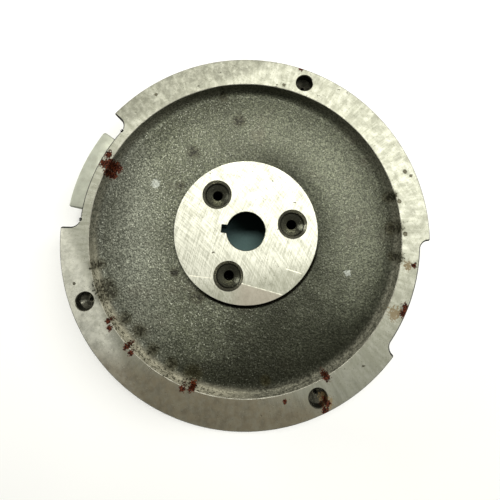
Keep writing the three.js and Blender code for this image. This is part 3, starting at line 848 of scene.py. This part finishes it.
def marked_metal(name, colour, dark, roughness, streaks, depth, face=False, hole_shade=False):
    """Machined iron. streaks gives the tool marks of a Paint as a value from 0 to 1.

    face adds the tints, the painted highlight and the scratches of the hub's and the rim's face, and the
    last flag adds the painted shade in the holes.
    """
    paint = Paint(name, 1.0, roughness)
    marks = streaks(paint)
    cloud = paint.noise(3.6, detail=5.0, roughness=0.65)
    radius = paint.radius()
    dull_rim = paint.ramp(radius, 60, 70, 0, 0.8)
    # Painted shade: the hub's face is darker towards one side.
    shaded_hub_face = paint.ramp(paint.away_towards(HUB_FACE_SHADE_SIDE), 16, 28)
    # dull carries both the rim's dull mottling and that painted shade.
    dull = paint.math("MAXIMUM", dull_rim, shaded_hub_face)
    base = paint.mix(paint.times(dull, paint.ramp(cloud, 0.32, 0.68, 0.52, 0.82)), colour, dark)
    base = paint.mix(paint.ramp(marks, 0.43, 0.6, 0.0, 0.62), base, dark)
    mottle = paint.ramp(paint.noise(1.5, detail=4.0, roughness=0.6), 0.5, 0.7, 0.0, 0.4)
    base = paint.mix(paint.times(dull, mottle), base, dark)
    if face:
        base = rim_tints(paint, base)
    pores = paint.ramp(paint.noise(0.45, detail=1.0), 0.69, 0.74, 0.0, 0.6)
    base = paint.mix(pores, base, (0.06, 0.055, 0.035))
    scattered = paint.ramp(paint.math("ADD", paint.cells(7.0, paint.place), paint.noise(0.8)), 0.5, 0.44)
    pits = paint.math("MAXIMUM", paint.patchy(paint.near_spots(PITS), 0.6, 1.6), scattered)
    base = paint.mix(paint.times(pits, 0.85), base, (0.06, 0.052, 0.03))
    if face:
        base = hub_marks(paint, base)
    # Painted shade in the holes.
    if hole_shade:
        base = painted_hole_shade(paint, base)
    base, rust = ageing(paint, base)
    paint.give("Base Color", base)
    paint.give("Specular IOR Level", paint.ramp(rust, 0.0, 1.0, 0.5, 0.1))
    bare = paint.ramp(radius, 50, 60, 0.8, 0.65) if hole_shade else 1.0
    paint.give("Metallic", paint.times(bare, paint.ramp(rust, 0.0, 1.0, 1.0, 0.0)))
    worn = paint.ramp(cloud, 0.3, 0.7, roughness - 0.05, roughness + 0.07)
    paint.give("Roughness", paint.math("ADD", worn, paint.times(rust, 0.3)))
    holes = paint.math("ADD", paint.times(pits, 2.0), pores)
    paint.bump(paint.math("SUBTRACT", marks, holes), depth)
    return paint.material


def hub_marks(paint, colour):
    """A brownish stain along one side of the hub's face, and the long scratches on it."""
    below = paint.ramp(paint.away_towards(STAINED_SIDE), 24.9, 25.6)
    below = paint.times(below, paint.ramp(paint.radius(), 60, 50))
    stained = paint.times(below, paint.ramp(paint.x, -7, 4))
    colour = paint.mix(paint.times(stained, 0.7), colour, (0.33, 0.295, 0.24))
    faded = paint.ramp(paint.noise(3.0), 0.35, 0.6, 0.25, 0.9)
    for start, end in SCRATCHES:
        line = paint.times(paint.near_line(start, end, 0.32), faded)
        colour = paint.mix(line, colour, (0.85, 0.83, 0.7))
    return colour


def rim_tints(paint, colour):
    """The rim's face has a painted highlight on one side, is a little duller on another and brownish on a
    third.
    """
    smudge = paint.noise(2.6, detail=5.0, roughness=0.65)
    # Painted highlight: the rim's face is brighter towards one side, where it reflects light.
    rim_highlight = paint.ramp(paint.away_towards(RIM_HIGHLIGHT_SIDE), 76, 82)
    rim_highlight = paint.times(rim_highlight, paint.ramp(smudge, 0.35, 0.6, 0.45, 0.9))
    colour = paint.mix(rim_highlight, colour, (0.75, 0.745, 0.65))
    smeared = paint.ramp(paint.away_towards(SMEARED_SIDE), 73, 80)
    smeared = paint.times(smeared, paint.ramp(smudge, 0.4, 0.6, 0.25, 0.65))
    colour = paint.mix(smeared, colour, (0.15, 0.15, 0.115))
    greasy = paint.ramp(paint.away_towards(GREASY_SIDE), 64, 79)
    greasy = paint.times(greasy, paint.ramp(smudge, 0.38, 0.6, 0.6, 0.85))
    return paint.mix(greasy, colour, (0.25, 0.213, 0.145))


def painted_hole_shade(paint, colour):
    """Painted shade: black on the walls and at the bottom of every hole, a darker floor in the hub's holes,
    and a thinner dark smear on the rim holes' floors.
    """
    on_hub = paint.ramp(paint.radius(), 60, 50)
    depth = paint.math("SUBTRACT", HEIGHT, paint.z)
    below_chamfer = paint.ramp(depth, HUB_HOLE["chamfer"] - 0.45, HUB_HOLE["chamfer"])
    above_floor = paint.ramp(depth, HUB_HOLE["depth"] + 0.4, HUB_HOLE["depth"] + 0.1)
    # Painted shade: a black ring on the straight walls of the hub's holes.
    ring = paint.times(paint.times(below_chamfer, above_floor), on_hub)
    colour = paint.mix(paint.times(ring, 0.9), colour, (0.004, 0.004, 0.003))
    # Painted shade: a darker floor in the hub's holes.
    floor = paint.times(paint.ramp(depth, HUB_HOLE["depth"], HUB_HOLE["depth"] + 0.2), on_hub)
    colour = paint.mix(paint.times(floor, 0.6), colour, (0.05, 0.055, 0.036))
    on_rim = paint.math("SUBTRACT", 1.0, on_hub)
    smear = paint.times(on_rim, paint.ramp(paint.noise(1.8, detail=3.0), 0.4, 0.6, 0.15, 0.8))
    smear = paint.times(smear, paint.ramp(depth, RIM_HOLE["depth"] - 0.3, RIM_HOLE["depth"]))
    colour = paint.mix(smear, colour, (0.03, 0.03, 0.022))
    # Painted shade: black on the walls of the rim's holes.
    above_floor = paint.ramp(depth, RIM_HOLE["depth"], RIM_HOLE["depth"] - 0.3)
    wall = paint.times(paint.ramp(depth, 0.3, 0.8), above_floor)
    colour = paint.mix(paint.times(paint.times(wall, on_rim), 0.9), colour, (0.01, 0.01, 0.008))
    # Painted shade: black deep in every hole.
    black_from_depth = paint.ramp(on_hub, 0, 1, RIM_HOLE["pilot_depth"] - 1.4, HUB_HOLE["depth"] + 1.8)
    bottom = paint.ramp(paint.math("SUBTRACT", depth, black_from_depth), 0, 0.7)
    return paint.mix(bottom, colour, (0.003, 0.003, 0.002))


def grinding_marks(paint):
    """Fine arcs of a rotary grinder over faint streaks that run out from the middle."""
    radius = paint.radius()
    direction = paint.vector("NORMALIZE", paint.flat_place())
    spokes = paint.vector("ADD", paint.vector("SCALE", direction, scale=70.0),
                          paint.vector("SCALE", (0, 0, 1), scale=paint.times(radius, 0.12)))
    radial = paint.noise(1.6, spokes, detail=3.0)
    swept = paint.vector("DISTANCE", paint.flat_place(), (150, -40, 0))
    across = paint.node("ShaderNodeCombineXYZ", {0: swept, 1: paint.times(paint.y, 0.06)})
    arcs = paint.noise(0.6, across.outputs[0], detail=3.0)
    swept_back = paint.vector("DISTANCE", paint.flat_place(), (-110, -120, 0))
    crossing = paint.node("ShaderNodeCombineXYZ", {0: swept_back, 1: paint.times(paint.x, 0.06)})
    crossed = paint.noise(0.7, crossing.outputs[0], detail=3.0)
    fine = paint.times(paint.math("ADD", arcs, crossed), 0.5)
    on_rim = paint.ramp(radius, 60, 70, 0.0, 0.6)
    return paint.node("ShaderNodeMix", {0: on_rim, 2: fine, 3: radial}, data_type="FLOAT").outputs[0]


def turning_marks(paint):
    """Rings left by a lathe tool, in step along the radius and the height."""
    radius = paint.radius()
    rings = paint.node("ShaderNodeCombineXYZ", {0: radius, 1: paint.z, 2: paint.times(paint.x, 0.01)})
    return paint.noise(0.35, rings.outputs[0], detail=3.0)


def milling_marks(paint):
    """Upright lines left by the side of a milling cutter."""
    lines = paint.node("ShaderNodeCombineXYZ", {0: paint.x, 1: paint.y, 2: paint.times(paint.z, 0.03)})
    return paint.noise(0.5, lines.outputs[0], detail=3.0)


def die_cast():
    """Satin die-cast aluminium with flow marks and fine pitting."""
    paint = Paint("die_cast_aluminium", 0.85, 0.45)
    flow = paint.noise(5.0, detail=4.0)
    grain = paint.noise(0.5, detail=2.0)
    base = paint.mix(paint.ramp(flow, 0.3, 0.7), (0.46, 0.475, 0.395), (0.38, 0.39, 0.325))
    base = paint.mix(paint.ramp(grain, 0.6, 0.75, 0.0, 0.4), base, (0.22, 0.22, 0.18))
    paint.give("Base Color", base)
    paint.give("Roughness", paint.ramp(flow, 0.3, 0.7, 0.5, 0.62))
    paint.bump(grain, 0.08)
    return paint.material


def plain_metal(name, colour, worn_colour, metallic, roughness, size, depth):
    """Small steel parts: a colour that wears and pits towards another."""
    paint = Paint(name, metallic, roughness)
    wear = paint.noise(size, detail=4.0, roughness=0.65)
    fine = paint.noise(size / 6, detail=2.0)
    base = paint.mix(paint.ramp(wear, 0.4, 0.7), colour, worn_colour)
    base = paint.mix(paint.ramp(fine, 0.65, 0.8, 0.0, 0.5), base, tuple(0.3 * part for part in worn_colour))
    paint.give("Base Color", base)
    paint.give("Roughness", paint.ramp(wear, 0.3, 0.7, roughness - 0.08, roughness + 0.12))
    paint.bump(fine, depth)
    return paint.material


def floor_material():
    paint = Paint("pale_floor", 0.0, 0.9)
    soft = paint.noise(60.0, detail=2.0)
    paint.give("Base Color", paint.mix(soft, (0.93, 0.93, 0.93), (0.96, 0.96, 0.955)))
    return paint.material


def cloth_material():
    paint = Paint("blue_grey_cloth", 0.0, 0.95)
    weave = paint.noise(0.8, detail=2.0)
    paint.give("Base Color", paint.mix(weave, (0.06, 0.11, 0.105), (0.09, 0.15, 0.145)))
    return paint.material


# ---------------------------------------------------------------- stage

CAMERA_LENS = 24.55
CAMERA_SHIFT = -0.1
CAMERA_PLACE = (0.2, -9.4, HEIGHT + 170)
CAMERA_TILT = (8.38, -0.6)
LIGHT_DISTANCE = 0.8  # metres from the origin, as the lights' sizes are
VIEW_TURN = 6.5  # the view's upright direction is +Y turned by this much


def view_matrix(place, tilt_x, tilt_y):
    spin = Matrix.Rotation(math.radians(VIEW_TURN), 4, "Z")
    lean = Matrix.Rotation(math.radians(tilt_y), 4, "Y") @ Matrix.Rotation(math.radians(tilt_x), 4, "X")
    return Matrix.Translation(spin @ (Vector(place) * MM)) @ spin @ lean


def add_camera():
    data = bpy.data.cameras.new("camera")
    data.lens = CAMERA_LENS
    data.shift_y = CAMERA_SHIFT
    data.clip_start = 0.01
    camera = bpy.data.objects.new("camera", data)
    bpy.context.scene.collection.objects.link(camera)
    camera.matrix_world = view_matrix(CAMERA_PLACE, *CAMERA_TILT)
    bpy.context.scene.camera = camera


def add_soft_light(name, direction, size, power, colour):
    data = bpy.data.lights.new(name, "AREA")
    data.shape = "RECTANGLE"
    data.size, data.size_y = size
    data.energy = power
    data.color = colour
    light = bpy.data.objects.new(name, data)
    bpy.context.scene.collection.objects.link(light)
    spin = Matrix.Rotation(math.radians(VIEW_TURN), 3, "Z")
    away = (spin @ Vector(direction)).normalized()
    light.location = away * LIGHT_DISTANCE
    light.rotation_euler = away.to_track_quat("Z", "Y").to_euler()


def add_floor():
    half = 3000
    points = [(-half, -half, 0), (half, -half, 0), (half, half, 0), (-half, half, 0)]
    floor = mesh_object("floor", np.array(points) - (0, 0, 0.05), [[0, 1, 2, 3]])
    floor.data.materials.append(floor_material())


def add_mat():
    """A scrap of blue-grey cloth under the hub, which shows only through the bore."""
    ring = [(x, y, height) for height in (0, 0.4) for x, y in arc(0, 0, 24, 0, 355, 71)]
    points, faces = loft([np.array(ring[:72]), np.array(ring[72:])])
    mat = mesh_object("mat", points, faces)
    mat.data.materials.append(cloth_material())


def set_surroundings(strength):
    world = bpy.data.worlds.new("studio")
    world.use_nodes = True
    background = world.node_tree.nodes["Background"]
    background.inputs["Color"].default_value = (0.98, 1.0, 0.92, 1)
    background.inputs["Strength"].default_value = strength
    bpy.context.scene.world = world
    bpy.context.scene.view_settings.view_transform = "Standard"


# ---------------------------------------------------------------- assembly

add_camera()
add_soft_light("key", (0.02, 0.31, 1), (0.4, 0.11), 5.2, (1, 0.99, 0.93))
add_soft_light("left softbox", (-1, 0.4, 0.35), (0.4, 0.25), 2.4, (1, 1, 0.96))
add_soft_light("right softbox", (0.72, 0.2, 1), (0.3, 0.5), 3.0, (1, 1, 0.96))
set_surroundings(0.06)
add_floor()
add_mat()

# The second colour of each pair is the dark one that tool marks, mottling and the painted shade on the
# hub's face mix towards.
ground_iron, ground_dark = (0.58, 0.58, 0.5), (0.27, 0.272, 0.212)
turned_iron, turned_dark = (0.27, 0.265, 0.23), (0.15, 0.145, 0.12)
drilled_iron, drilled_dark = (0.3, 0.295, 0.23), (0.1, 0.096, 0.07)
# Painted shade: the milled walls' iron is nearly black, standing in for the shade those walls lie in.
shaded_milled_iron, shaded_milled_dark = (0.035, 0.035, 0.03), (0.012, 0.012, 0.01)
casting_paints = [
    rough_skin(),
    marked_metal("ground_face", ground_iron, ground_dark, 0.54, grinding_marks, 0.045, face=True),
    marked_metal("turned_edge", turned_iron, turned_dark, 0.5, turning_marks, 0.05),
    marked_metal("drilled_hole", drilled_iron, drilled_dark, 0.22, turning_marks, 0.05, hole_shade=True),
    marked_metal("milled_wall", shaded_milled_iron, shaded_milled_dark, 0.4, milling_marks, 0.04),
]
casting = fine_casting(casting_paints)
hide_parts("flywheel_casting")
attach(casting, "root")

carrier = fine_carrier(die_cast())
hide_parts("magnet_carrier")
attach(carrier, "root")

zinc = plain_metal("zinc_steel", (0.55, 0.56, 0.54), (0.32, 0.32, 0.3), 1.0, 0.38, 1.5, 0.04)
black = plain_metal("black_steel", (0.001, 0.001, 0.001), (0.004, 0.0035, 0.003), 1.0, 0.55, 1.0, 0.03)
sheet_steel = plain_metal("electrical_steel", (0.3, 0.3, 0.29), (0.2, 0.19, 0.17), 1.0, 0.45, 2.0, 0.03)
magnet = plain_metal("magnet_alloy", (0.05, 0.05, 0.052), (0.09, 0.088, 0.085), 0.5, 0.55, 2.0, 0.04)

for side, end in ((1, "leading"), (-1, "trailing")):
    screw = fine_screw(side, zinc)
    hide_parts(f"{end}_carrier_screw")
    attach(screw, "root")
    pin = fine_pin(side, black)
    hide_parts(f"{end}_spring_pin")
    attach(pin, "root")

for name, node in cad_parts.items():
    if "lamination" in name:
        finish, edge = sheet_steel, 0.12
    elif "rivet" in name:
        finish, edge = zinc, 0.2
    elif name == "ignition_magnet":
        finish, edge = magnet, 0.25
    else:
        continue
    node.material_slots[0].material = finish
    weld = node.modifiers.new("weld", "WELD")  # a bevel needs faces that share their corners
    weld.merge_threshold = 0.001 * MM
    bevel = node.modifiers.new("edge", "BEVEL")
    bevel.width = edge * MM
    bevel.segments = 2
    bevel.limit_method = "ANGLE"
